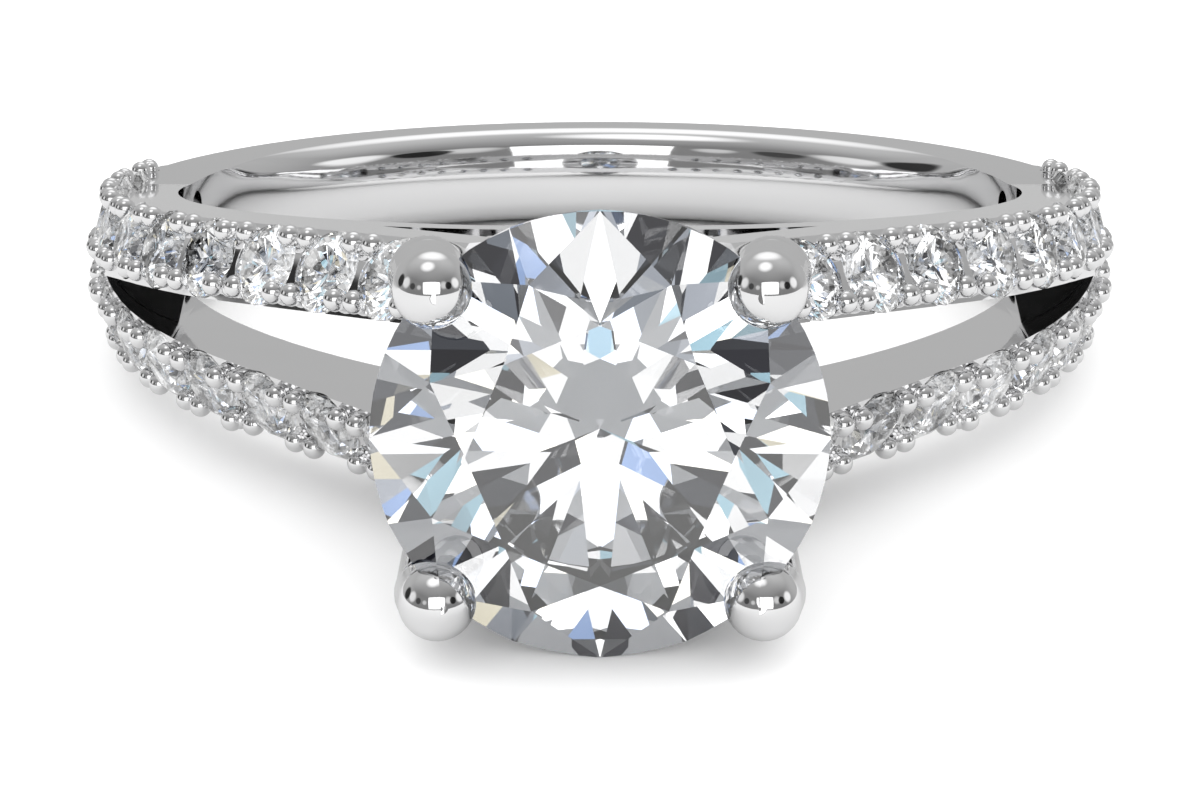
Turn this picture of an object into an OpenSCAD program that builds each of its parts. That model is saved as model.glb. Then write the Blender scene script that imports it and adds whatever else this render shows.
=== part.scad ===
// Engagement ring in white metal, lying on its side as it would by itself.
// A plain domed band splits at each side into two arms. Each arm carries one row of
// small stones and runs straight to a head with four claws round a large round stone.
// The ring is drawn with its finger hole along Z and its large stone towards -Y. It is
// then leaned until it rests on that stone's girdle and on the plain band's edge.

/* [Finger hole] */
// Diameter of the finger hole
finger_d = 16.9; // [16.7:0.1:17.1]

/* [Plain band] */
// Width of the plain band at the back
band_w = 2.16; // [2.1:0.02:2.2]
// Thickness of the plain band at its middle
band_t = 1.73; // [1.68:0.01:1.78]
// Radius of the dome across the band and the arms
dome_r = 2.9; // [2.8:0.1:3.1]
// Angle from the back at which the plain band steps down to the arms
band_end = 74; // [73:0.5:74.5]

/* [Arms] */
// Thickness of the arms at the middle of their dome, less than the plain band's
arm_t = 1.48; // [1.46:0.01:1.52]
// Slope of the outer faces, away from the middle plane towards the head
face_slope = 5.03; // [4.8:0.01:5.2]
// Angle from the back at which the arms run straight to the head
bend_to = 135; // [134.5:0.5:135.5]
// How much larger the radius of that bend is
bend_more = 1.54; // [1.5:0.01:1.6]
// Length of the straight stretch
straight_l = 5.4; // [5.3:0.1:5.6]
// Depth of the straight stretch, from its crest to its flat underside
straight_t = 1.85; // [1.8:0.05:1.9]
// Distance from the ring's middle sideways to the pointed ends of the gap
gap_tip = 9.45; // [9.4:0.05:9.5]
// Slope of the gap's faces, seen from the front
gap_slope = 0.094; // [0.085:0.001:0.1]
// Half height that the gap gains close to its pointed ends
gap_nose = 0.26; // [0.22:0.01:0.28]
// Thickness of the rails that go on round the finger hole under the head
rail_t = 0.7; // [0.65:0.05:0.75]

/* [Small stones] */
// Diameter of a small stone
pave_d = 1.46; // [1.4:0.02:1.5]
// Diameter of the first small stone of each row, where the rows are closest
pave_first_d = 1.26; // [1.2:0.02:1.28]
// Distance from one small stone to the next
pave_pitch = 1.6; // [1.58:0.01:1.62]
// Radius of the beads that hold the small stones
bead_r = 0.16; // [0.155:0.005:0.165]

/* [Head] */
// Diameter of the large stone
stone_d = 6.77; // [6.6:0.01:6.9]
// Distance from the middle of the finger hole to the large stone's girdle
stone_out = 15.2; // [15:0.05:15.3]
// Radius of a claw
claw_r = 0.58; // [0.54:0.01:0.6]
// Outer diameter of the collar behind the large stone
collar_d = 5.5; // [5.3:0.1:5.7]

/* [Hidden] */
$fn = 96;

finger_r = finger_d / 2;
band_r = finger_r + band_t;
arm_r = finger_r + arm_t;
pave_n = 10; // small stones on each arm
tall = 2.4; // half height of the raw metal, more than any finished part of it
inside = 7.6; // inner radius of the raw metal, well within the finger hole

// Angles from the back at which the arms begin to leave the round, and the rows begin
bend_from = 90;
row_from = 77.2;

// Half the height that the ring's flat outer faces allow, at y from its middle
face_from = 0.83;
function face_z(y) = band_w / 2 + tan(face_slope) * max(0, face_from - y);

// Half the height of the gap, at u inwards of its pointed end, seen from the front
function gap_z(u) = gap_slope * u + gap_nose * (1 - exp(-u / 0.55));
// The gap is cut from here forward, a little behind where its points reach the outside
gap_from = 2.6;

// Proportions of a round brilliant, in shares of its diameter
table_share = 0.57;
crown_share = 0.15;
girdle_share = 0.022;
pavilion_share = 0.43;
seat_gap = 0.015; // clearance between a stone and its seat
pave_sink = 0.07; // depth of a small stone's girdle under the crest

// Middle line of a row of small stones
row_drop = 0.12; // how far that line runs under the highest line of the dome, on average
row_r = arm_r - row_drop;
round_l = row_r * (bend_from - row_from) * PI / 180;
bend_l = (row_r + bend_more) * (bend_to - bend_from) * PI / 180;
function outward(a) = [sin(a), cos(a)];
bend_centre = -bend_more * outward(bend_from);

// Angle from the back of the outward direction, at length s of a row
function row_angle(s) =
    s < round_l ? row_from + s / row_r * 180 / PI
    : s < round_l + bend_l ? bend_from + (s - round_l) / (row_r + bend_more) * 180 / PI
    : bend_to;
// Place in plan on the highest line of the dome, at length s of a row
function crest_place(s) =
    let (a = row_angle(s))
    s < round_l ? arm_r * outward(a)
    : bend_centre + (arm_r + bend_more) * outward(a)
        + max(0, s - round_l - bend_l) * [cos(a), -sin(a)];
// Height of the middle of the row there, and how far the dome has fallen at it
function row_z(s) =
    let (ahead = face_from - 0.98 * crest_place(s)[1])
    0.7 + 0.04 * ahead + 0.0022 * ahead * ahead;
function row_fall(s) = dome_r - sqrt(dome_r * dome_r - row_z(s) * row_z(s));

// Claw: its foot on the collar, its bend at the girdle, and its tip over the stone
claw_foot = [2.35, -10.6, 1.4];
claw_bend = [2.5, -stone_out, 2.42];
claw_tip = [2.4, -stone_out - 0.62, 2.35];

// The ring leans so that the girdle's low edge and the band's low edge touch the floor
band_edge_r = band_r - dome_r + sqrt(dome_r * dome_r - band_w * band_w / 4);
rest_lean = atan((stone_d / 2 - band_w / 2) / (stone_out + band_edge_r));
rest_lift = band_edge_r * sin(rest_lean) + band_w / 2 * cos(rest_lean);
// It is moved along Y too, so that its middle stands over the origin
table_y = stone_out + stone_d * (girdle_share + crown_share);
front_y = table_y * cos(rest_lean) + stone_d / 2 * table_share * sin(rest_lean);
back_y = (band_r - dome_r) * cos(rest_lean) + dome_r;
rest_shift = (front_y - back_y) / 2;

// Diameter of small stone i of a row, counted from the back
function pave_size(i) = i == 0 ? pave_first_d : pave_d;

// Repeats children on both sides and both faces of the ring
module four() {
    for (side = [0, 1], face = [0, 1])
        mirror([side, 0, 0])
            mirror([0, 0, face])
                children();
}

// Draws an outline of y and z out along X, right through the ring
module through_x() {
    rotate([90, 0, 90])
        linear_extrude(30, center = true)
            children();
}

// Draws an outline of x and z out towards the head, from y = -from
module through_front(from) {
    translate([0, -from, 0])
        rotate([90, 0, 0])
            linear_extrude(14)
                children();
}

// Puts children at length s of the row on one side (1 or -1) and one face (1 or -1),
// with +Z out of the metal, +X towards the gap and the row along Y
module on_row(s, side, face) {
    a = row_angle(s);
    place = crest_place(s) - row_fall(s) * outward(a);
    mirror([side < 0 ? 1 : 0, 0, 0])
        mirror([0, 0, face < 0 ? 1 : 0])
            translate([place[0], place[1], row_z(s)])
                rotate([0, 0, -a])
                    rotate([row_tilt(s) - 90, 0, 0])
                        rotate([0, 0, 90])
                            children();
}

// Lean of the dome's outward direction towards the outer face, at length s of a row
function row_tilt(s) = asin(row_z(s) / dome_r);

// Puts children drawn with +Z out of the table in the place of the large stone
module at_head() {
    translate([0, -stone_out, 0])
        rotate([90, 0, 0])
            children();
}

// One round brilliant: a table, stars, kites and girdle facets over a pavilion of
// mains and lower halves. Its girdle's low edge is at z = 0 and its table faces +Z.
// The girdle follows a circle in `arc` short chords to each sixteenth of a turn.
module brilliant(d, arc) {
    r = d / 2;
    table_r = r * table_share;
    girdle = d * girdle_share;
    crown = d * crown_share;
    depth = d * pavilion_share;
    // the stars' outer corners lie on the kites' planes, a little over half way out
    star_r = r * 0.78;
    star_z = crown * (r - star_r * cos(22.5)) / (r - table_r);
    low_r = r * 0.23;
    low_z = -depth * (1 - low_r * cos(22.5) / r);
    n = 16 * arc;
    step = 360 / n;
    // each facet beside the girdle is flat, so its outer edge rises between its corners
    mid = r * cos(11.25);
    function along(j) = r * cos((j % arc) * step - 11.25);
    up_slope = star_z / (mid - star_r * cos(11.25));
    low_slope = -low_z / (mid - low_r * cos(11.25));
    function rise(j, slope) = (along(j) - mid) * slope;
    points = concat(
        [for (k = [0 : 7]) [table_r * cos(45 * k), table_r * sin(45 * k), girdle + crown]],
        [for (k = [0 : 7])
            [star_r * cos(45 * k + 22.5), star_r * sin(45 * k + 22.5), girdle + star_z]],
        [for (j = [0 : n - 1])
            [r * cos(j * step), r * sin(j * step), girdle - rise(j, up_slope)]],
        [for (j = [0 : n - 1])
            [r * cos(j * step), r * sin(j * step), rise(j, low_slope)]],
        [for (k = [0 : 7])
            [low_r * cos(45 * k + 22.5), low_r * sin(45 * k + 22.5), low_z]],
        [[0, 0, -depth]]
    );
    top = 16;
    low = top + n;
    half = low + n;
    culet = half + 8;
    function ring(base, j) = base + (j + n) % n;
    faces = concat(
        [[for (k = [7 : -1 : 0]) k]],
        [for (k = [0 : 7]) [k, (k + 1) % 8, 8 + k]],
        [for (k = [0 : 7]) [k, 8 + k, ring(top, 2 * arc * k), 8 + (k + 7) % 8]],
        [for (k = [0 : 7], h = [0, 1])
            concat([8 + k], [for (j = [arc : -1 : 0]) ring(top, 2 * arc * k + h * arc + j)])],
        [for (j = [0 : n - 1])
            [ring(top, j), ring(top, j + 1), ring(low, j + 1), ring(low, j)]],
        [for (k = [0 : 7], h = [0, 1])
            concat([half + k], [for (j = [0 : arc]) ring(low, 2 * arc * k + h * arc + j)])],
        [for (k = [0 : 7]) [culet, half + (k + 7) % 8, ring(low, 2 * arc * k), half + k]]
    );
    polyhedron(points = points, faces = faces);
}

// The space that a stone of diameter d needs, as a turned solid. Over the girdle it
// first goes straight up for `open`, as a seat that is cut down from the crest does.
module stone_space(d, gap, open) {
    r = d / 2 + gap;
    girdle = d * girdle_share + gap;
    crown = d * crown_share;
    rise = crown / (r * (1 - table_share));
    rotate_extrude()
        polygon([
            [0, -d * pavilion_share - 2 * gap], [r, -gap], [r, girdle + open],
            [r - (crown - open) / rise, girdle + crown + 0.01], [0, girdle + crown + 0.01]
        ]);
}

// Section of the raw metal: domed outside, at distance `crest` from its axis of turning
module domed_section(crest, depth, half) {
    intersection() {
        translate([crest - dome_r, 0])
            circle(dome_r);
        translate([crest - depth, -half])
            square([depth + 1, 2 * half]);
    }
}

// Raw plain band, and the arms' round stretch that goes on a little inside their bends
module raw_band() {
    hidden = 10;
    step_in = 0.15; // keeps the two apart inside the finger hole
    rotate([0, 0, 90 - band_end])
        rotate_extrude(angle = 2 * band_end)
            domed_section(band_r, band_r - inside - step_in, tall - 0.1);
    rotate([0, 0, 90 - bend_from - hidden])
        rotate_extrude(angle = 2 * (bend_from + hidden))
            domed_section(arm_r, arm_r - inside, tall);
}

// Raw pair of arms on the side of +X, as one bar: a bend and a straight stretch. It
// stands a hair proud of the round stretch, which ends inside it.
module raw_arms() {
    crest = arm_r + bend_more + 0.01;
    translate([bend_centre[0], bend_centre[1], 0])
        rotate([0, 0, 90 - bend_to]) {
            rotate_extrude(angle = bend_to - bend_from)
                domed_section(crest, arm_r - inside - 0.1, tall + 0.1);
            rotate([90, 0, 0])
                linear_extrude(straight_l)
                    domed_section(crest, straight_t, tall + 0.1);
        }
}

// Raw rail round the finger hole under the head, reaching into the arms at both ends
module raw_rail() {
    reach = 50;
    from = inside + 0.15;
    rotate([0, 0, 270 - reach])
        rotate_extrude(angle = 2 * reach)
            translate([from, 0.2 - tall])
                square([finger_r + rail_t - from, 2 * tall - 0.4]);
}

// Outline of the ring seen along X: level faces at the back, sloping ones in front
module face_outline() {
    far = 20;
    polygon([
        [far, band_w / 2], [face_from, band_w / 2], [-far, face_z(-far)],
        [-far, -face_z(-far)], [face_from, -band_w / 2], [far, -band_w / 2]
    ]);
}

// Outline of the gap between the arms, seen from the front
module gap_outline() {
    steps = [0, 0.12, 0.28, 0.5, 0.8, 1.2, 1.8, gap_tip];
    n = len(steps);
    half = [for (u = steps) [gap_tip - u, gap_z(u)]];
    polygon(concat(
        half,
        [for (k = [n - 1 : -1 : 0]) [-half[k][0], half[k][1]]],
        [for (k = [1 : n - 1]) [-half[k][0], -half[k][1]]],
        [for (k = [n - 1 : -1 : 1]) [half[k][0], -half[k][1]]]
    ));
}

// Collar behind the large stone, open in its middle
module collar() {
    collar_from = 10.05;
    collar_l = 1.6;
    open_r = 1.5;
    translate([0, -collar_from, 0])
        rotate([90, 0, 0])
            difference() {
                cylinder(d = collar_d, h = collar_l);
                translate([0, 0, -1])
                    cylinder(r = open_r, h = collar_l + 2);
            }
}

// A round bar from p to q with a ball at its end, which is a hair larger than the bar
module bar(p, q, r) {
    v = q - p;
    l = norm(v);
    translate(p)
        rotate([0, acos(v[2] / l), atan2(v[1], v[0])]) {
            cylinder(r = r - 0.01, h = l);
            translate([0, 0, l])
                sphere(r);
        }
}

// One claw on the side of +X and +Z
module claw() {
    bar(claw_foot, claw_bend, claw_r);
    bar(claw_bend, claw_tip, claw_r);
}

// Four beads between two small stones, two on each shoulder of an arm
module bead_group() {
    half_pair = 0.215;
    shoulder = 0.5;
    proud = 0.06;
    for (along = [-half_pair, half_pair], across = [-shoulder, shoulder])
        translate([across, along, proud])
            sphere(bead_r, $fn = 24);
}

// Seat of a small stone, with the hole drilled on through to the finger side
module pave_seat(d, tilt) {
    hole_r = 0.3;
    translate([0, 0, -pave_sink]) {
        stone_space(d, seat_gap, 0.03);
        translate([0, 0, -0.35])
            rotate([0, tilt, 0])
                mirror([0, 0, 1])
                    cylinder(r = hole_r, h = 1.9);
    }
}

// All the metal, which is one solid: band, arms, rails, beads, collar and claws
module ring_metal() {
    difference() {
        union() {
            difference() {
                intersection() {
                    union() {
                        raw_band();
                        raw_arms();
                        mirror([1, 0, 0])
                            raw_arms();
                        raw_rail();
                    }
                    through_x() face_outline();
                }
                through_front(gap_from) gap_outline();
            }
            intersection() {
                collar();
                through_x() face_outline();
            }
            four() claw();
            for (side = [-1, 1], face = [-1, 1], i = [0 : pave_n])
                on_row(i * pave_pitch, side, face)
                    bead_group();
        }
        cylinder(r = finger_r, h = 12, center = true, $fn = 192);
        for (side = [-1, 1], face = [-1, 1], i = [0 : pave_n - 1])
            on_row((i + 0.5) * pave_pitch, side, face)
                pave_seat(pave_size(i), row_tilt((i + 0.5) * pave_pitch));
        at_head()
            stone_space(stone_d, seat_gap, 0);
    }
}

// Leans, lifts and shifts the ring from its own frame to where it rests on the floor
module resting() {
    translate([0, rest_shift, rest_lift])
        rotate([-rest_lean, 0, 0])
            children();
}

module mounting() {
    color([0.78, 0.78, 0.79])
        resting()
            ring_metal();
}

module centre_stone() {
    color([0.93, 0.96, 1.0])
        resting()
            at_head()
                brilliant(stone_d, 4);
}

// Small stone k of all, counted arm by arm and from the back of each
module pave_stone(k) {
    arm = floor((k - 1) / pave_n);
    i = (k - 1) % pave_n;
    color([0.88, 0.93, 1.0])
        resting()
            on_row((i + 0.5) * pave_pitch, arm % 2 == 0 ? -1 : 1, arm < 2 ? 1 : -1)
                translate([0, 0, -pave_sink])
                    brilliant(pave_size(i), 1);
}

mounting();
centre_stone();
pave_stone(1);  // pave_stone_01
pave_stone(2);  // pave_stone_02
pave_stone(3);  // pave_stone_03
pave_stone(4);  // pave_stone_04
pave_stone(5);  // pave_stone_05
pave_stone(6);  // pave_stone_06
pave_stone(7);  // pave_stone_07
pave_stone(8);  // pave_stone_08
pave_stone(9);  // pave_stone_09
pave_stone(10);  // pave_stone_10
pave_stone(11);  // pave_stone_11
pave_stone(12);  // pave_stone_12
pave_stone(13);  // pave_stone_13
pave_stone(14);  // pave_stone_14
pave_stone(15);  // pave_stone_15
pave_stone(16);  // pave_stone_16
pave_stone(17);  // pave_stone_17
pave_stone(18);  // pave_stone_18
pave_stone(19);  // pave_stone_19
pave_stone(20);  // pave_stone_20
pave_stone(21);  // pave_stone_21
pave_stone(22);  // pave_stone_22
pave_stone(23);  // pave_stone_23
pave_stone(24);  // pave_stone_24
pave_stone(25);  // pave_stone_25
pave_stone(26);  // pave_stone_26
pave_stone(27);  // pave_stone_27
pave_stone(28);  // pave_stone_28
pave_stone(29);  // pave_stone_29
pave_stone(30);  // pave_stone_30
pave_stone(31);  // pave_stone_31
pave_stone(32);  // pave_stone_32
pave_stone(33);  // pave_stone_33
pave_stone(34);  // pave_stone_34
pave_stone(35);  // pave_stone_35
pave_stone(36);  // pave_stone_36
pave_stone(37);  // pave_stone_37
pave_stone(38);  // pave_stone_38
pave_stone(39);  // pave_stone_39
pave_stone(40);  // pave_stone_40
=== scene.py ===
# %% [markdown]
# This is an engagement ring in polished white metal, lying on its side as it would by
# itself. A large round diamond sits in four claws, and two arms on each side carry
# rows of small diamonds. The shapes come from a CAD model that is already exact, so
# this lesson is about what makes such a ring look real: a mirror finish that shows
# the room around it, cut stones that bend light, and the studio that both of them see.

# %% Load the frame
import math
import bmesh
import bpy
from mathutils import Matrix, Vector


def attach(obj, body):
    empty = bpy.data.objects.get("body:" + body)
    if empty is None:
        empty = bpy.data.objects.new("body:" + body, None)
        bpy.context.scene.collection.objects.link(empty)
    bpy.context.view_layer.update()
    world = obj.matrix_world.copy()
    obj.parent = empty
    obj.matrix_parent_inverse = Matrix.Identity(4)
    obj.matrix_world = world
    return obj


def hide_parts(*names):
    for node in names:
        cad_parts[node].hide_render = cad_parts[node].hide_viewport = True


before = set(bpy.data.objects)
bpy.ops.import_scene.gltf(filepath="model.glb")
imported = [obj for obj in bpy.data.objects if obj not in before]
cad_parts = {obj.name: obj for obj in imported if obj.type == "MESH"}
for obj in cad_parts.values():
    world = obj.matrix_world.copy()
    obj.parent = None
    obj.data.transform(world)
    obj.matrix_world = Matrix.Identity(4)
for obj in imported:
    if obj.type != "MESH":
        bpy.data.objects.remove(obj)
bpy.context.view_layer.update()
MM = 0.001

# %% [markdown]
# The camera comes first, because everything else is judged through it. The ring was
# drawn in its own frame, with the finger hole upright, and then leaned onto the edge
# of its large stone. The camera is placed in that same frame: straight in front of
# the stone, a little above the ring's middle plane, with a long lens as for jewellery.

# %% Camera
LEAN = math.radians(-5.232)
RING_PLACE = (0, 3.16127 * MM, 1.9848 * MM)
CAMERA_PLACE = (0, -52.17 * MM, 9.92 * MM)
CAMERA_DOWN = math.radians(14.28)
LENS_LENGTH = 78
SENSOR_WIDTH = 36
NEAREST, FURTHEST = 0.001, 10

RING = Matrix.Translation(RING_PLACE) @ Matrix.Rotation(LEAN, 4, "X")
lens = bpy.data.cameras.new("camera")
lens.sensor_width = SENSOR_WIDTH
lens.lens = LENS_LENGTH
lens.clip_start, lens.clip_end = NEAREST, FURTHEST
camera = bpy.data.objects.new("camera", lens)
bpy.context.scene.collection.objects.link(camera)
camera.matrix_world = (
    RING
    @ Matrix.Translation(CAMERA_PLACE)
    @ Matrix.Rotation(math.radians(90) - CAMERA_DOWN, 4, "X")
)
bpy.context.scene.camera = camera
camera_height = camera.matrix_world.translation.z
print("the camera is", round(camera_height / MM, 1), "mm above the floor")

# %% [markdown]
# Materials and the studio are made of nodes. Wiring them one by one hides the idea
# behind them, so a small class stands for one output of a node. Sums on it add Math
# nodes, and one method makes any other node from its type, its settings and what goes
# into its sockets.

# %% A small language for nodes
class Wire:
    """One output of a node. Arithmetic on it adds Math nodes to the same tree."""

    def __init__(self, tree, socket=None):
        self.tree = tree
        self.socket = socket

    def node(self, kind, settings=None, inputs=None, out=0):
        made = self.tree.nodes.new("ShaderNode" + kind)
        for name, value in (settings or {}).items():
            if name == "stops":
                ramp = made.color_ramp.elements
                while len(ramp) < len(value):
                    ramp.new(1)
                for stop, (position, colour) in zip(ramp, value):
                    stop.position = position
                    stop.color = (*colour, 1)
            else:
                setattr(made, name, value)
        for name, value in (inputs or {}).items():
            if isinstance(value, Wire):
                self.tree.links.new(value.socket, made.inputs[name])
            else:
                made.inputs[name].default_value = value
        return Wire(self.tree, made.outputs[out])

    def outputs(self, *names):
        """Other outputs of the node that this wire leaves."""
        return [Wire(self.tree, self.socket.node.outputs[name]) for name in names]

    def math(self, operation, a, b=0.0):
        return self.node("Math", {"operation": operation}, {0: a, 1: b})

    def __add__(self, other):
        return self.math("ADD", self, other)

    def __sub__(self, other):
        return self.math("SUBTRACT", self, other)

    def __mul__(self, other):
        return self.math("MULTIPLY", self, other)

    def __rsub__(self, other):
        return self.math("SUBTRACT", other, self)

    def __gt__(self, other):
        return self.math("GREATER_THAN", self, other)

    __radd__ = __add__
    __rmul__ = __mul__


def feed(wire, socket):
    wire.tree.links.new(wire.socket, socket)


def start_material(name):
    """A new material, the inputs of its Principled shader, and a wire to build from."""
    made = bpy.data.materials.new(name)
    made.use_nodes = True
    tree = made.node_tree
    return made, tree.nodes["Principled BSDF"].inputs, Wire(tree)


def blend(w, share, low, high):
    """One colour where `share` is 0, fading to the other where it is 1."""
    return w.node("Mix", {"data_type": "RGBA"}, {"Factor": share, 6: low, 7: high}, out=2)


def grey_of(w, value):
    """A grey of a varying brightness, as a colour."""
    return w.node("CombineColor", {}, {"Red": value, "Green": value, "Blue": value})


def fade(w, value, low, high):
    """0 up to `low` and 1 from `high`, with a soft bend at both ends."""
    return w.node(
        "MapRange",
        {"interpolation_type": "SMOOTHSTEP"},
        {"Value": value, "From Min": low, "From Max": high},
    )


# %% [markdown]
# White gold is polished until it is a mirror. What gives it away as metal and not as a
# perfect mirror is small: the buffing wheel leaves faint waves two or three
# millimetres long, finer marks that run round the ring, and a gloss that isn't quite
# even. The waves and marks go into the normal through Bump, and the gloss into the
# roughness. The pattern of the marks is squeezed upwards, which draws them out around.

# %% Waves and marks of the buffing wheel
WAVES_PER_METRE = 420.0
MARKS_PER_METRE = 5200.0
MARKS_STRETCH = (1.0, 1.0, 6.0)
GLOSS, MARK_HAZE = 0.03, 0.035
WAVE_RELIEF, MARK_RELIEF = 0.5, 0.02
BUMP_STRENGTH, BUMP_DEPTH = 0.05, 0.02 * MM

metal, metal_in, w = start_material("polished_white_metal")
place = w.node("TexCoord", out="Object")
waves = w.node("TexNoise", {}, {"Vector": place, "Scale": WAVES_PER_METRE, "Detail": 1.0})
buffed = w.node("Mapping", {}, {"Vector": place, "Scale": MARKS_STRETCH})
marks = w.node(
    "TexNoise",
    {},
    {"Vector": buffed, "Scale": MARKS_PER_METRE, "Detail": 3.0, "Roughness": 0.6},
)
relief = waves * WAVE_RELIEF + marks * MARK_RELIEF
bump = w.node(
    "Bump", {}, {"Height": relief, "Strength": BUMP_STRENGTH, "Distance": BUMP_DEPTH}
)
feed(bump, metal_in["Normal"])
metal_in["Metallic"].default_value = 1.0
print("made", metal.name, "with waves of about", round(1 / WAVES_PER_METRE / MM, 1), "mm")

# %% [markdown]
# The narrow ends of the gap between the arms lie deep in shade, and that shade is painted
# into the metal there: its colour turns nearly black, and it is also made rougher. To find
# that place, the object coordinates are turned into the ring's own frame, where the two
# ends mirror each other. A Compare node gives 1 within a reach of a middle, and three of
# them multiplied make a small box.

# %% Painted shade at the ends of the gaps, and the metal's colour
SHADED_GAP_SIDE = (8.75, 0.72)
SHADED_GAP_AHEAD = (-2.6, 0.03)
SHADED_GAP_LEVEL = (0, 0.42)
SHADED_GAP_HAZE = 0.25
# Painted shade: this near-black colour stands for the deep shade in the gap ends.
PAINTED_SHADE_TONE = (0.012, 0.012, 0.012, 1)
METAL_TONES = (0.84, 0.84, 0.845, 1), (0.885, 0.885, 0.89, 1)


def within(value, middle, reach):
    """1 where a length in mm lies within `reach` of `middle`."""
    return w.node("Math", {"operation": "COMPARE"}, {0: value, 1: middle * MM, 2: reach * MM})


in_ring = w.node(
    "Mapping",
    {},
    {"Vector": place, "Location": RING.inverted().translation, "Rotation": (-LEAN, 0, 0)},
)
side_at, ahead_at, level_at = w.node("SeparateXYZ", {}, {"Vector": in_ring}).outputs(*"XYZ")
from_centre = w.node("Math", {"operation": "ABSOLUTE"}, {0: side_at})
# The box where shade is painted, at the ends of the gaps.
shade_painted = (
    within(from_centre, *SHADED_GAP_SIDE)
    * within(ahead_at, *SHADED_GAP_AHEAD)
    * within(level_at, *SHADED_GAP_LEVEL)
)
feed(GLOSS + MARK_HAZE * marks + SHADED_GAP_HAZE * shade_painted, metal_in["Roughness"])
# Inside the box the base colour turns near black, which is painted shade and not a finish of the
# metal.
feed(blend(w, shade_painted, blend(w, waves, *METAL_TONES), PAINTED_SHADE_TONE), metal_in["Base Color"])
print("the metal is dull at", SHADED_GAP_SIDE[0], "mm to both sides")

# %% [markdown]
# Diamond is clear, but it bends light so strongly that most of what enters the top
# comes back out of the top, from somewhere else in the room. The shader needs only
# the true index of refraction, 2.42, no roughness, and facets that are really flat.
# A cut stone is never quite even, so a faint cloud warms and cools its body colour.

# %% Diamond
CLOUDS_PER_METRE = 300.0
DIAMOND_TONES = (0.97, 0.985, 1.0, 1), (1.0, 0.995, 0.98, 1)
DIAMOND_INDEX = 2.42

diamond, diamond_in, w = start_material("diamond")
place = w.node("TexCoord", out="Object")
cloud = w.node("TexNoise", {}, {"Vector": place, "Scale": CLOUDS_PER_METRE, "Detail": 2.0})
feed(blend(w, cloud, *DIAMOND_TONES), diamond_in["Base Color"])
diamond_in["Roughness"].default_value = 0.0
diamond_in["IOR"].default_value = DIAMOND_INDEX
diamond_in["Transmission Weight"].default_value = 1.0
print("made", diamond.name, "with an index of", DIAMOND_INDEX)

# %% [markdown]
# The small diamonds sit in metal on all sides, and with the shader alone they come out
# darker than in the photo. The likely reason is that a renderer follows light for only
# so many turns, and such a seat needs many. So the small stones get a little light of
# their own, in splinters a quarter of a millimetre wide that the facets then scatter.
# The large stone gets none: it is what lies near its own middle.

# %% Splinters of light in the small diamonds
SPLINTERS_PER_METRE = 4000.0
DARK_SHARE = 0.74
GLOW = 0.19
LARGE_STONE_REACH = 4.3

corners = [v.co.copy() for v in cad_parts["centre_stone"].data.vertices]
stone_middle = Vector([(min(c) + max(c)) / 2 for c in zip(*corners)])
from_middle = w.node(
    "VectorMath", {"operation": "DISTANCE"}, {0: place, 1: stone_middle}, out="Value"
)
splinters = w.node(
    "TexVoronoi", {}, {"Vector": place, "Scale": SPLINTERS_PER_METRE}, out="Color"
)
chance = w.node("SeparateColor", {}, {"Color": splinters})
lit = (chance > DARK_SHARE) * (from_middle > LARGE_STONE_REACH * MM)
feed(grey_of(w, lit * GLOW), diamond_in["Emission Color"])
diamond_in["Emission Strength"].default_value = 1.0
reach = max((c - stone_middle).length for c in corners)
print("the large stone reaches", round(reach / MM, 2), "mm from its middle")

# %% Give the pieces their finish
for name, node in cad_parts.items():
    for slot in node.material_slots:
        slot.material = metal if name == "mounting" else diamond
print("gave", len(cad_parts), "nodes their finish")

# %% [markdown]
# A ring that is comfortable to wear isn't a plain tube inside. Behind the arms its
# wall swells a little towards the finger, and its edges roll over softly into the
# flat sides. A CAD part leaves that roll to the polisher, and so do we: we take a
# copy of the metal, cut rows of new corners into the wall, and move them.
# The copy keeps the CAD surface's own smooth normals, which are stored on each
# corner of each face before the cutting and put back after it.

# %% Copy the metal with its normals
SAME_CORNER = 0.0004

TO_RING = Matrix.Diagonal((1 / MM, 1 / MM, 1 / MM, 1)) @ RING.inverted()
TO_WORLD = TO_RING.inverted()
cad_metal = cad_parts["mounting"].data
bm = bmesh.new()
bm.from_mesh(cad_metal)
normal_layer = bm.loops.layers.float_vector.new("smooth_normal")
turn = RING.to_3x3().inverted()
cad_normals = [turn @ n.vector for n in cad_metal.corner_normals]
for face in bm.faces:
    for loop in face.loops:
        loop[normal_layer] = cad_normals[loop.index]
bmesh.ops.transform(bm, matrix=TO_RING, verts=bm.verts)
bmesh.ops.remove_doubles(bm, verts=bm.verts, dist=SAME_CORNER)
print("the copy has", len(bm.faces), "faces and", len(bm.verts), "corners")

# %% [markdown]
# The wall is all that lies at the finger hole's radius. Only the stretch behind the
# arms gets the roll, and it fades out where the rows of stones begin. Lengths are in
# millimetres here, because the copy was brought into the ring's own frame.

# %% The shape of the roll
FINGER_R = 8.45
BAND_HALF = 1.08
SWELL_R = 4.4
ROLL_R = 0.44
ROLL_FROM = 0.65
FADE_FROM, FADE_TO = math.radians(40), math.radians(73)
PAST_FADE = 0.15
SHALLOWEST = 1e-4
ON_WALL = 0.02


def from_back(p):
    """The angle of a point from the back of the ring, to either side."""
    return math.atan2(abs(p.x), p.y)


def on_wall(p):
    at_radius = abs(math.hypot(p.x, p.y) - FINGER_R) < ON_WALL
    return at_radius and from_back(p) < FADE_TO + PAST_FADE


def roll_share(angle):
    """1 behind the ring, fading to 0 where the arms begin."""
    t = min(1, max(0, (FADE_TO - angle) / (FADE_TO - FADE_FROM)))
    return t * t * (3 - 2 * t)


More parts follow.
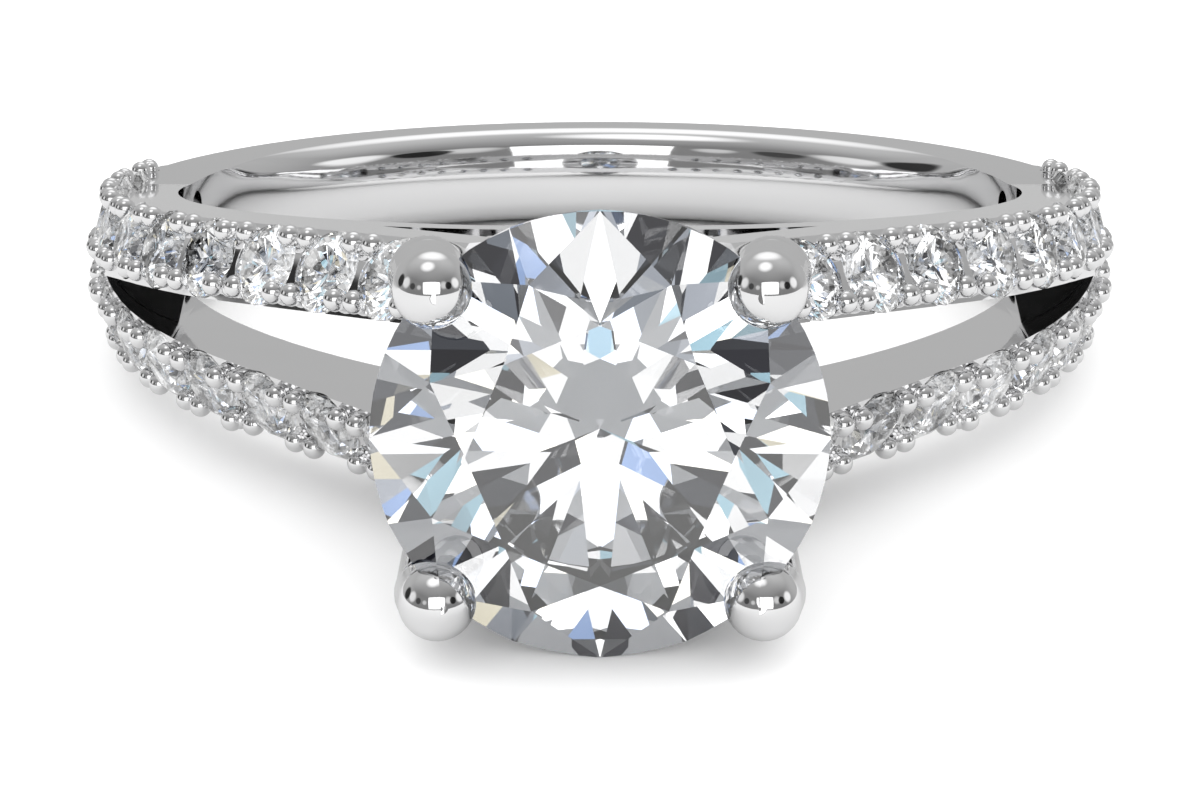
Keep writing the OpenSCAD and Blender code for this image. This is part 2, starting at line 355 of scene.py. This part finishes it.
def roll(z):
    """How far the wall stands back at height z, and the slope of that."""
    over = max(0, abs(z) - ROLL_FROM)
    depth = math.sqrt(max(ROLL_R**2 - over**2, SHALLOWEST))
    stand = z * z / (2 * SWELL_R) + ROLL_R - depth
    return stand, math.copysign(abs(z) / SWELL_R + over / depth, z)


print("the roll stands back", round(roll(BAND_HALF)[0], 2), "mm at the band's edges")

# %% Cut rows of corners into the wall
CUTS = (0.25, 0.45, 0.6, 0.68, 0.75, 0.82, 0.88, 0.93, 0.97, 1.01, 1.04, 1.065)
ON_CUT = 0.0001


def wall_faces():
    return [f for f in bm.faces if all(on_wall(v.co) for v in f.verts)]


for cut in CUTS:
    for sign in (-1, 1):
        cut_faces = wall_faces()
        around = {e for f in cut_faces for e in f.edges} | {v for f in cut_faces for v in f.verts}
        bmesh.ops.bisect_plane(
            bm,
            geom=cut_faces + list(around),
            dist=ON_CUT,
            plane_co=(0, 0, sign * cut),
            plane_no=(0, 0, 1),
        )
rolled = wall_faces()
print("the wall has", len(rolled), "faces")

# %% Roll the edges of the finger hole
before = {v: v.co.copy() for f in rolled for v in f.verts}
for v, p in before.items():
    level = max(-BAND_HALF, min(BAND_HALF, p.z))
    stand = roll(level)[0] * roll_share(from_back(p))
    outward = Vector((p.x, p.y, 0)).normalized() * (FINGER_R + stand)
    v.co = (outward.x, outward.y, p.z)
for face in rolled:
    for loop in face.loops:
        p = before[loop.vert]
        outward = Vector((p.x, p.y, 0)).normalized()
        slope = roll(p.z)[1] * roll_share(from_back(p))
        loop[normal_layer] = (-outward + Vector((0, 0, slope))).normalized()
print("moved", len(before), "corners of the wall")

# %% [markdown]
# A polisher also takes the sharpness off the outer edges of the plain band. That thin
# rounded edge catches the overhead light as a bright line all along the ring.

# %% Break the outer edges of the band
EDGE_R = 9.9714
EDGE_WIDTH = 0.08
EDGE_SEGMENTS = 3
EDGE_UNTIL = 1.28
ON_EDGE_LEVEL, ON_EDGE_R = 0.003, 0.004


def on_edge(p):
    at_level = abs(abs(p.z) - BAND_HALF) < ON_EDGE_LEVEL
    at_radius = abs(math.hypot(p.x, p.y) - EDGE_R) < ON_EDGE_R
    return at_level and at_radius and from_back(p) < EDGE_UNTIL


rim = [e for e in bm.edges if on_edge(e.verts[0].co) and on_edge(e.verts[1].co)]
rounded = bmesh.ops.bevel(
    bm,
    geom=rim + list({v for e in rim for v in e.verts}),
    offset=EDGE_WIDTH,
    offset_type="OFFSET",
    segments=EDGE_SEGMENTS,
    profile=0.5,
    affect="EDGES",
    material=-1,
    clamp_overlap=False,
)
print("broke", len(rim), "edges into", len(rounded["faces"]), "faces")

# %% [markdown]
# The copy goes back to metres and to its place on the floor, and becomes a piece of its
# own. It takes the place of the CAD metal and rides on the same body. The stored
# normals are put on its corners last, because every change of the mesh resets them.

# %% Make the polished metal a piece
def triangles(mesh):
    return sum(len(p.vertices) - 2 for p in mesh.polygons)


bmesh.ops.transform(bm, matrix=TO_WORLD, verts=bm.verts)
bm.normal_update()
normals = [RING.to_3x3() @ loop[normal_layer] for f in bm.faces for loop in f.loops]
for face in bm.faces:
    face.smooth = True
polished_mesh = bpy.data.meshes.new("polished_metal")
bm.to_mesh(polished_mesh)
bm.free()
polished_mesh.normals_split_custom_set([n.normalized() for n in normals])
polished_mesh.materials.append(metal)
polished = bpy.data.objects.new("polished_mounting", polished_mesh)
bpy.context.scene.collection.objects.link(polished)
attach(polished, "root")
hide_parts("mounting")
polished_mesh.attributes.remove(polished_mesh.attributes["smooth_normal"])
print("polished_mounting has", triangles(polished_mesh), "triangles")

# %% [markdown]
# The setter holds each small stone with beads: a graver raises a burr of metal, and a
# hollow tool rounds it into a ball that leans over the stone's edge. The CAD part has
# small round beads. Here the rounding tool is used, so each becomes a full bright ball.
# Nothing needs to be measured by hand: each stone's own table says where its axis is,
# and the beads belong half way between two stones of a row.

# %% Where each small stone sits
ROWS = 4
STONES_IN_ROW = 10
GIRDLE_UNDER_CREST = 0.07
PAVILION = 0.43
SAME_DIRECTION = 0.9999


def table_normal(mesh):
    """The direction that most of a stone's facets, by area, face: its table's."""

    def flat_area(n):
        return sum(f.area for f in mesh.polygons if f.normal.dot(n) > SAME_DIRECTION)

    return max((f.normal for f in mesh.polygons), key=flat_area)


def seat_of(stone):
    """Where a stone's axis meets the crest of its arm, and the direction of that axis."""
    points = [TO_RING @ v.co for v in stone.data.vertices]
    axis = (TO_RING.to_3x3() @ table_normal(stone.data)).normalized()
    culet = min(points, key=axis.dot)
    radius = max((p - culet).cross(axis).length for p in points)
    return culet + axis * (2 * radius * PAVILION + GIRDLE_UNDER_CREST), axis


def along_row(values, s):
    """A curve through three neighbouring stones of a row, at s spacings from its start."""
    first = min(max(round(s - 0.5) - 1, 0), STONES_IN_ROW - 3)
    a, b, c = (first + k + 0.5 for k in range(3))
    return (
        values[first] * ((s - b) * (s - c) / 2)
        - values[first + 1] * ((s - a) * (s - c))
        + values[first + 2] * ((s - a) * (s - b) / 2)
    )


rows = []
for row in range(ROWS):
    numbers = range(row * STONES_IN_ROW + 1, (row + 1) * STONES_IN_ROW + 1)
    seats = [seat_of(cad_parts[f"pave_stone_{n:02d}"]) for n in numbers]
    rows.append(([p for p, _ in seats], [axis for _, axis in seats]))
print("the first row starts at", [round(x, 2) for x in along_row(rows[0][0], 0)], "mm")

# %% [markdown]
# One ball is made with its operator, and its corners are copied to the place of each
# bead: two beads along the row by two across it, between each pair of stones and at
# both ends. A step of a twentieth of a spacing shows which way the row runs there. The
# balls are whole, so where they lean over a stone they also reach into it, by a seventh
# of a millimetre at the most.

# %% Round the beads
BEAD_R = 0.2
BEAD_PROUD = 0.1
BEAD_ALONG = 0.24
BEAD_ACROSS = 0.5
BEAD_SIDES, BEAD_RINGS = 20, 12
SMALL_STEP = 0.05

ball = bmesh.new()
bmesh.ops.create_uvsphere(ball, u_segments=BEAD_SIDES, v_segments=BEAD_RINGS, radius=BEAD_R)
ball_corners = [v.co.copy() for v in ball.verts]
ball_faces = [[v.index for v in f.verts] for f in ball.faces]
ball.free()
bead_middles = []
for places, axes in rows:
    for group in range(STONES_IN_ROW + 1):
        crest = along_row(places, group)
        out = along_row(axes, group).normalized()
        ahead = (along_row(places, group + SMALL_STEP) - crest).normalized()
        beside = ahead.cross(out)
        for along in (-BEAD_ALONG, BEAD_ALONG):
            for sideways in (-BEAD_ACROSS, BEAD_ACROSS):
                bead_middles.append(crest + out * BEAD_PROUD + ahead * along + beside * sideways)
bead_corners = [TO_WORLD @ (middle + c) for middle in bead_middles for c in ball_corners]
starts = [i * len(ball_corners) for i in range(len(bead_middles))]
bead_faces = [[start + k for k in f] for start in starts for f in ball_faces]
bead_mesh = bpy.data.meshes.new("polished_beads")
bead_mesh.from_pydata(bead_corners, [], bead_faces)
bead_mesh.shade_smooth()
bead_mesh.materials.append(metal)
beads = bpy.data.objects.new("polished_beads", bead_mesh)
bpy.context.scene.collection.objects.link(beads)
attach(beads, "root")
print("polished_beads has", triangles(bead_mesh), "triangles")

# %% [markdown]
# The floor is a plain white sheet. It ends a hand's breadth from the ring, out of the
# picture, so that the sloping sides of the ring mirror the grey room behind it and
# not a white floor without end. What the metal mirrors of it is toned down, and more
# so behind the ring, so that the metal keeps its greys.

# %% Floor
FLOOR_R = 120
FLOOR_SIDES = 96
FLOOR_TONE = 0.93
PAPER_GRAINS_PER_METRE = 60.0
PAPER_ROUGHNESS, GRAIN_ROUGHNESS = 0.7, 0.1
PAPER_SHINE = 0.1
MIRRORED_LESS, MIRRORED_LESS_BEHIND = 0.33, 0.26
DUSK_FROM, DUSK_TO = 2, 26

floor_mesh = bpy.data.meshes.new("floor")
bm = bmesh.new()
bmesh.ops.create_circle(bm, cap_ends=True, segments=FLOOR_SIDES, radius=FLOOR_R * MM)
bm.to_mesh(floor_mesh)
bm.free()
floor = bpy.data.objects.new("floor", floor_mesh)
bpy.context.scene.collection.objects.link(floor)
paper, paper_in, w = start_material("white_sheet")
place = w.node("TexCoord", out="Object")
grain = w.node("TexNoise", {}, {"Vector": place, "Scale": PAPER_GRAINS_PER_METRE})
feed(PAPER_ROUGHNESS + GRAIN_ROUGHNESS * grain, paper_in["Roughness"])
paper_in["Specular IOR Level"].default_value = PAPER_SHINE
mirrored_ray = w.node("LightPath", out="Is Glossy Ray")
behind = w.node("SeparateXYZ", {}, {"Vector": place}, out="Y")
dusk = fade(w, behind, DUSK_FROM * MM, DUSK_TO * MM)
tone = FLOOR_TONE - mirrored_ray * (MIRRORED_LESS + MIRRORED_LESS_BEHIND * dusk)
feed(grey_of(w, tone), paper_in["Base Color"])
floor_mesh.materials.append(paper)
print("the floor is", 2 * FLOOR_R, "mm wide")

# %% [markdown]
# The studio. Metal and diamond show nothing but the room, so the room is drawn with
# care. It is a sphere of light, and each thing in it is a spot in some direction:
# grey walls, a soft band of light overhead, and a few dark gaps between the lights,
# which are what gives polished metal its black accents.

# %% Directions in the room
room = bpy.data.worlds.new("studio")
bpy.context.scene.world = room
room.use_nodes = True
room.node_tree.nodes.clear()
w = Wire(room.node_tree)
look = w.node("TexCoord", out="Generated")
back, up = w.node("SeparateXYZ", {}, {"Vector": look}).outputs("Y", "Z")


def spot(direction, inner, outer):
    """1 within `inner` degrees of a direction, fading to 0 at `outer` degrees."""
    aim = Vector(direction).normalized()
    cosine = w.node("VectorMath", {"operation": "DOT_PRODUCT"}, {0: look, 1: aim}, out="Value")
    return fade(w, cosine, math.cos(math.radians(outer)), math.cos(math.radians(inner)))


print("started the room", room.name)

# %% [markdown]
# First what the metal mirrors. The wall behind the ring is mid grey, because the flat
# sides of the ring mirror just that wall. The wall in front is darker, and the ceiling
# holds the lights. Each light and gap is a row of a table: its strength, its direction
# (to the right, to the back and up), and the degrees at which it begins and ends to fade.

# %% Walls, ceiling, lights and gaps that the metal mirrors
WALL_IN_FRONT, WALL_RISE = 0.22, 0.25
WALL_FROM, WALL_TO = -0.5, 0.6
CEILING = ((0.0, 0.0), (0.3, 0.02), (0.55, 0.0), (0.72, 0.08), (0.9, 0.15))
LIGHTS = (
    (0.80, (-0.14, -0.10, 0.98), 4, 20),
    (0.60, (0, 0.62, 0.78), 6, 26),
    (0.70, (0.96, -0.16, 0.30), 7, 15),
    (0.55, (-0.96, -0.16, 0.30), 7, 15),
    (0.45, (0.62, -0.70, 0.40), 3, 13),
    (0.40, (-0.55, -0.78, 0.30), 2, 8),
)
GAPS = (
    (1.0, (-0.94, 0.23, 0.20), 9, 14),
    (1.0, (0.80, -0.54, 0.32), 8, 11),
    (0.8, (-0.80, -0.54, 0.28), 6, 10),
)
GAP_DEPTH = 0.92

wall_tone = WALL_IN_FRONT + WALL_RISE * fade(w, back, WALL_FROM, WALL_TO)
greys = [(height, (tone,) * 3) for height, tone in CEILING]
ceiling = w.node("ValToRGB", {"stops": greys}, {"Fac": up})
lights = sum(strength * spot(*where) for strength, *where in LIGHTS)
gaps = w.node("Clamp", {}, {"Value": sum(strength * spot(*where) for strength, *where in GAPS)})
brightness = (wall_tone + ceiling + lights) * (1 - GAP_DEPTH * gaps)
print("the metal mirrors", len(LIGHTS), "lights and", len(GAPS), "dark gaps")

# %% [markdown]
# Then what the stones throw back. A diamond picks up small pieces of the room from all
# sides, so its life is in the contrast: most of the room is white, with dark patches
# and a few faintly coloured ones, which stand for the fire of the real stone. A cell
# pattern makes the patches, and a ramp without blending gives each cell one tone. A
# slow noise on top keeps the patches from being flat.

# %% Patches that the stones throw back
PATCHES = 4.6
DRIFT = 7.0
PATCH_TONES = (
    (0.0, (0.01, 0.01, 0.02)),
    (0.16, (0.05, 0.055, 0.07)),
    (0.29, (0.26, 0.29, 0.34)),
    (0.39, (0.60, 0.64, 0.72)),
    (0.48, (1.70, 1.70, 1.72)),
    (0.88, (0.42, 0.60, 1.00)),
    (0.92, (0.55, 0.85, 1.00)),
    (0.96, (1.05, 0.98, 0.78)),
)
THROWN = 0.84
DRIFT_CONTRAST, DRIFT_LOSS = 2.2, 0.1

patch = w.node("TexVoronoi", {}, {"Vector": look, "Scale": PATCHES}, out="Color")
dice = w.node("SeparateColor", {}, {"Color": patch})
sparkle = w.node("ValToRGB", {"stops": PATCH_TONES}, {"Fac": dice})
sparkle.socket.node.color_ramp.interpolation = "CONSTANT"
drift = w.node("TexNoise", {}, {"Vector": look, "Scale": DRIFT, "Detail": 1.0})
thrown_strength = (drift * DRIFT_CONTRAST - DRIFT_LOSS) * THROWN
print("the stones throw back patches of", len(PATCH_TONES), "tones")

# %% [markdown]
# Three rooms are mixed by how a ray of light got there. A ray that went through a stone
# sees the patches, a ray mirrored by metal sees the walls and lights, and all others
# see a soft white that lights the floor. Seen straight by the camera, the room is
# white. Transmission Depth counts the surfaces that a ray went through, so more than a
# half means at least once.

# %% Mix the rooms
WHITE = (1, 1, 1, 1)
SOFT = 1.6
ONCE = 0.5


def room_of(colour, strength):
    return w.node("Background", {}, {"Color": colour, "Strength": strength})


glossy, passed, direct = w.node("LightPath").outputs(
    "Is Glossy Ray", "Transmission Depth", "Is Camera Ray"
)
mirrored, thrown = room_of(WHITE, brightness), room_of(sparkle, thrown_strength)
mix = w.node("MixShader", {}, {0: glossy, 1: room_of(WHITE, SOFT), 2: mirrored})
mix = w.node("MixShader", {}, {0: passed > ONCE, 1: mix, 2: thrown})
mix = w.node("MixShader", {}, {0: direct, 1: mix, 2: room_of(WHITE, 1.0)})
end = room.node_tree.nodes.new("ShaderNodeOutputWorld")
feed(mix, end.inputs["Surface"])
bpy.context.scene.view_settings.view_transform = "Standard"
print("the studio has", len(room.node_tree.nodes), "nodes")

# %% [markdown]
# One real lamp joins the drawn room: a large window behind the camera. It gives the
# floor its soft shadow under the ring and the beads their small bright squares.

# %% The window
WINDOW_PLACE = (14, -300, 104)
WINDOW_AIM = (0, 0, 2)
WINDOW_SIZE = (280, 195)
WINDOW_POWER = 0.21

lamp = bpy.data.lights.new("window", "AREA")
lamp.shape = "RECTANGLE"
lamp.size, lamp.size_y = (s * MM for s in WINDOW_SIZE)
lamp.energy = WINDOW_POWER
window = bpy.data.objects.new("window", lamp)
window.location = Vector(WINDOW_PLACE) * MM
aim = Vector(WINDOW_AIM) * MM - window.location
window.rotation_euler = aim.to_track_quat("-Z", "Y").to_euler()
bpy.context.scene.collection.objects.link(window)
print("the window is", round(aim.length / MM), "mm from the ring")
